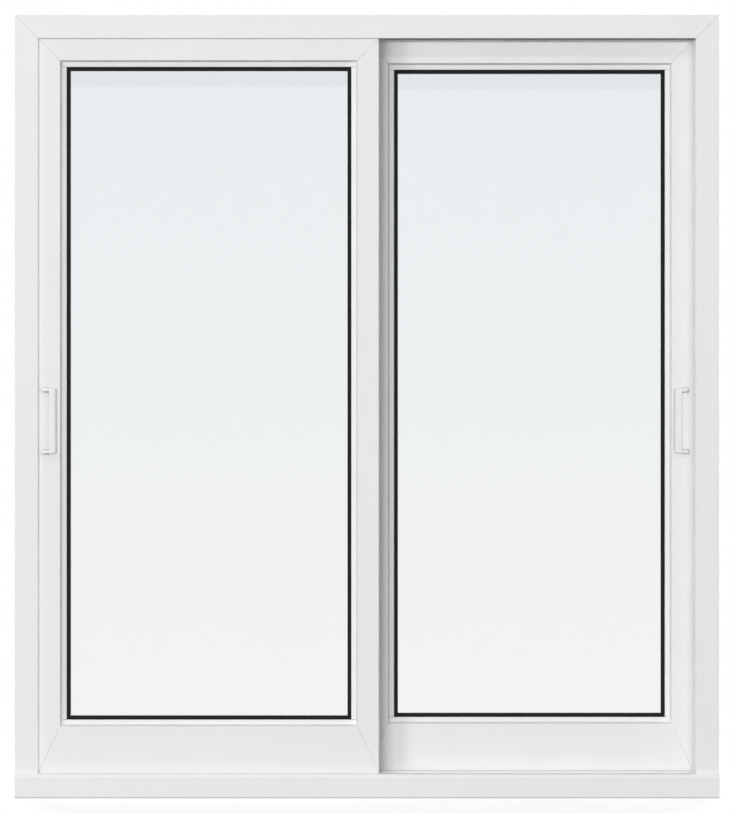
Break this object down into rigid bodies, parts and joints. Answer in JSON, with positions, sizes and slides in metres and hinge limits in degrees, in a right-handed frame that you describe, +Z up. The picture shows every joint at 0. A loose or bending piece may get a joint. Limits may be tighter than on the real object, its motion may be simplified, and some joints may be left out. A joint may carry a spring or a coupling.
{
  "type": "sliding patio door",
  "caption": "White plastic-framed patio door with glazed sashes that slide past each other on separate tracks, each with a C-shaped pull handle.",
  "frame": {"origin": "middle of the sill's underside, halfway through the frame's depth", "axes": "+X to the right seen from the room, +Y out of the room through the door, +Z up"},
  "size_m": [1.816, 0.19, 2.019],
  "materials": {
    "frame_pvc": "satin white",
    "sash_pvc": "satin white",
    "bead_pvc": "satin white",
    "handle_coating": "satin white",
    "clear_glass": "clear",
    "black_gasket": "matte black",
    "edge_spacer": "matte black",
    "track_aluminium": "mill",
    "interlock_aluminium": "satin white",
    "roller_housing": "zinc plated",
    "roller_nylon": "moulded",
    "roller_steel": "turned"
  },
  "bodies": {
    "frame": {"frame_head": "frame_pvc", "frame_left_jamb": "frame_pvc", "frame_right_jamb": "frame_pvc", "front_track": "track_aluminium", "rear_track": "track_aluminium", "sill": "frame_pvc"},
    "left_sash": {"left_bead_bottom": "bead_pvc", "left_bead_lock_side": "bead_pvc", "left_bead_meeting_side": "bead_pvc", "left_bead_top": "bead_pvc", "left_handle": "handle_coating", "left_outdoor_gasket": "black_gasket", "left_outdoor_pane": "clear_glass", "left_roller_axles": "roller_steel", "left_roller_housings": "roller_housing", "left_roller_wheels": "roller_nylon", "left_room_gasket": "black_gasket", "left_room_pane": "clear_glass", "left_sash_bottom_rail": "sash_pvc", "left_sash_lock_stile": "sash_pvc", "left_sash_meeting_stile": "sash_pvc", "left_sash_top_rail": "sash_pvc", "left_spacer": "edge_spacer"},
    "right_sash": {"right_bead_bottom": "bead_pvc", "right_bead_lock_side": "bead_pvc", "right_bead_meeting_side": "bead_pvc", "right_bead_top": "bead_pvc", "right_handle": "handle_coating", "right_interlock": "interlock_aluminium", "right_outdoor_gasket": "black_gasket", "right_outdoor_pane": "clear_glass", "right_roller_axles": "roller_steel", "right_roller_housings": "roller_housing", "right_roller_wheels": "roller_nylon", "right_room_gasket": "black_gasket", "right_room_pane": "clear_glass", "right_sash_bottom_rail": "sash_pvc", "right_sash_lock_stile": "sash_pvc", "right_sash_meeting_stile": "sash_pvc", "right_sash_top_rail": "sash_pvc", "right_spacer": "edge_spacer"}
  },
  "joints": [
    {"name": "left_sash_slide", "type": "slide", "parent": "frame", "child": "left_sash", "axis": [1, 0, 0], "range_m": [0, 0.815]},
    {"name": "right_sash_slide", "type": "slide", "parent": "frame", "child": "right_sash", "axis": [-1, 0, 0], "range_m": [0, 0.84]}
  ]
}
